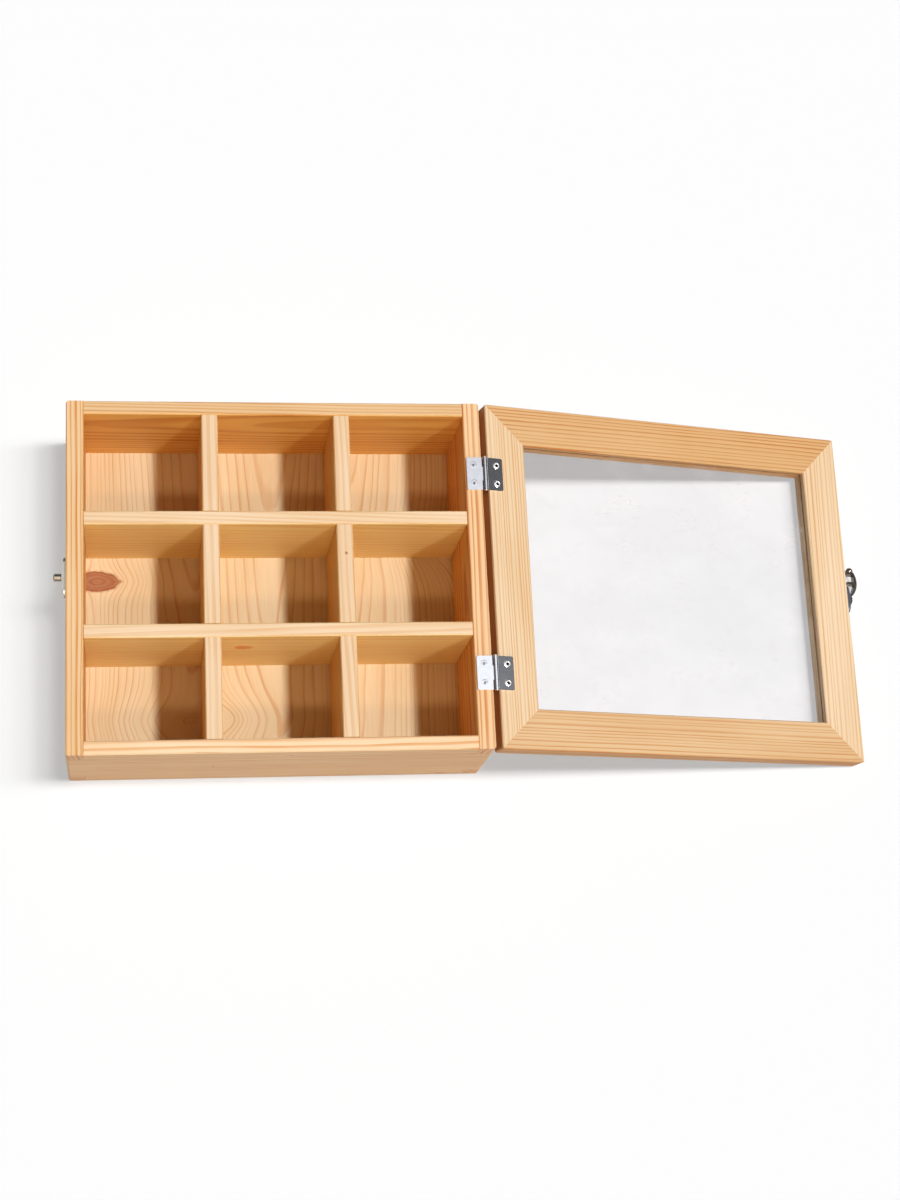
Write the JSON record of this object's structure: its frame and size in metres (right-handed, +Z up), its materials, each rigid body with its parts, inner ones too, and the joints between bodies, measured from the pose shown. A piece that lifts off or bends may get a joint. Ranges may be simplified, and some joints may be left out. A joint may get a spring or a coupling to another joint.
{
  "type": "tea bag organizer box",
  "caption": "Shallow wooden box with crossed dividers that form compartments for tea bags, and a hinged lid frame with a clear pane, held shut by a swing hook on a pin.",
  "frame": {"origin": "centre of the box's underside, on the surface it stands on", "axes": "+X from the catch side to the hinge side, +Y to the back, +Z up"},
  "size_m": [0.4921, 0.208, 0.0727],
  "materials": {
    "pine_walls": "sanded pine, thin clear oil",
    "pine_floor": "sanded pine, thin clear oil",
    "pine_dividers": "sanded pine, thin clear oil",
    "pine_lid": "sanded pine, thin clear oil",
    "clear_pane": "clear, slightly dusty",
    "bright_steel": "bright zinc plate",
    "satin_nickel": "satin nickel plate",
    "dark_pewter": "darkened pewter"
  },
  "bodies": {
    "box": {"front_wall": "pine_walls", "back_wall": "pine_walls", "catch_side_wall": "pine_walls", "hinge_side_wall": "pine_walls", "bottom_panel": "pine_floor", "long_divider_left": "pine_dividers", "long_divider_right": "pine_dividers", "cross_divider_front": "pine_dividers", "cross_divider_back": "pine_dividers", "box_leaf_front": "bright_steel", "box_leaf_back": "bright_steel", "hinge_pin_front": "bright_steel", "hinge_pin_back": "bright_steel", "box_leaf_screws": "bright_steel", "catch_plate": "satin_nickel", "catch_pin": "satin_nickel", "catch_screws": "satin_nickel"},
    "lid": {"lid_rail_front": "pine_lid", "lid_rail_back": "pine_lid", "lid_rail_hinge": "pine_lid", "lid_rail_latch": "pine_lid", "window_pane": "clear_pane", "lid_leaf_front": "bright_steel", "lid_leaf_back": "bright_steel", "lid_leaf_screws": "bright_steel", "hook_plate": "dark_pewter", "hook_plate_screws": "dark_pewter", "hook_rivet": "dark_pewter"},
    "hook": {"swing_hook": "dark_pewter"}
  },
  "joints": [
    {"name": "lid_hinge", "type": "hinge", "parent": "box", "child": "lid", "pos_m": [0.122, 0, 0.0711], "axis": [0, -1, 0], "range_deg": [0, 194]},
    {"name": "hook_swing", "type": "hinge", "parent": "lid", "child": "hook", "pos_m": [0.35544, 0, 0.00703], "axis": [0.9703, 0, -0.2419], "range_deg": [0, 90]}
  ]
}
